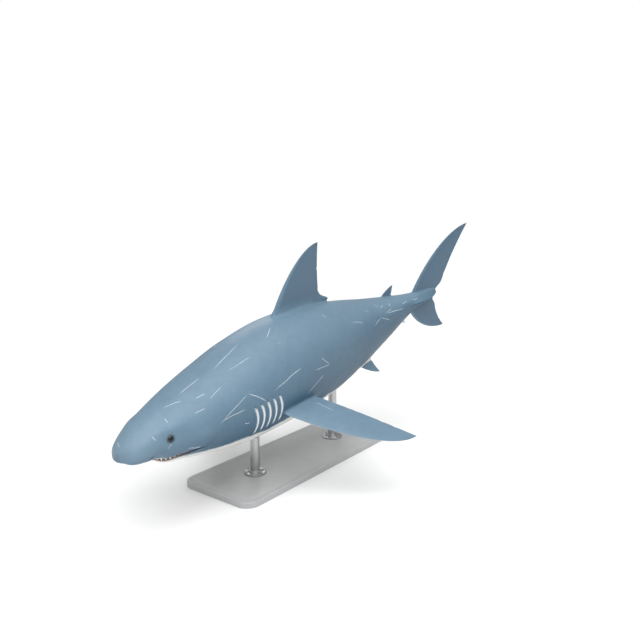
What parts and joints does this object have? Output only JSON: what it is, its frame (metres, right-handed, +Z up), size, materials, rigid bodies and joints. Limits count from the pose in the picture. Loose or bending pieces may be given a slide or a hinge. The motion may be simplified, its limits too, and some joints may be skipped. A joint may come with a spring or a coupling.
{
  "type": "great white shark model on a display stand",
  "caption": "Life-size still model of a great white shark gliding nose down with its mouth slightly open, held up by two rods on a flat base.",
  "frame": {"origin": "centre of the underside of the stand's base, where it rests on the floor", "axes": "the snout points to -X and the tail to +X, the shark's left side is -Y and its right side +Y, and +Z is up"},
  "size_m": [4.3358, 2.1528, 1.9402],
  "materials": {
    "skin": "fine sandpaper shark skin, slate blue-grey above and near white below, semi-matt",
    "eye": "wet black eye",
    "tooth": "ivory enamel, half gloss",
    "stand_paint": "pale grey satin paint",
    "stand_steel": "brushed along the rods"
  },
  "bodies": {
    "root": {"head": "skin", "lower_jaw": "skin", "gill_section": "skin", "trunk_front": "skin", "trunk_rear": "skin", "tail_front": "skin", "tail_stalk": "skin", "dorsal_fin": "skin", "second_dorsal_fin": "skin", "anal_fin": "skin", "caudal_fin_upper": "skin", "caudal_fin_lower": "skin", "pectoral_fin_left": "skin", "pectoral_fin_right": "skin", "pelvic_fin_left": "skin", "pelvic_fin_right": "skin", "eye_left": "eye", "eye_right": "eye", "stand_base": "stand_paint", "stand_post_front": "stand_steel", "stand_post_rear": "stand_steel", "stand_collar_front": "stand_steel", "stand_collar_rear": "stand_steel"}
  },
  "joints": []
}
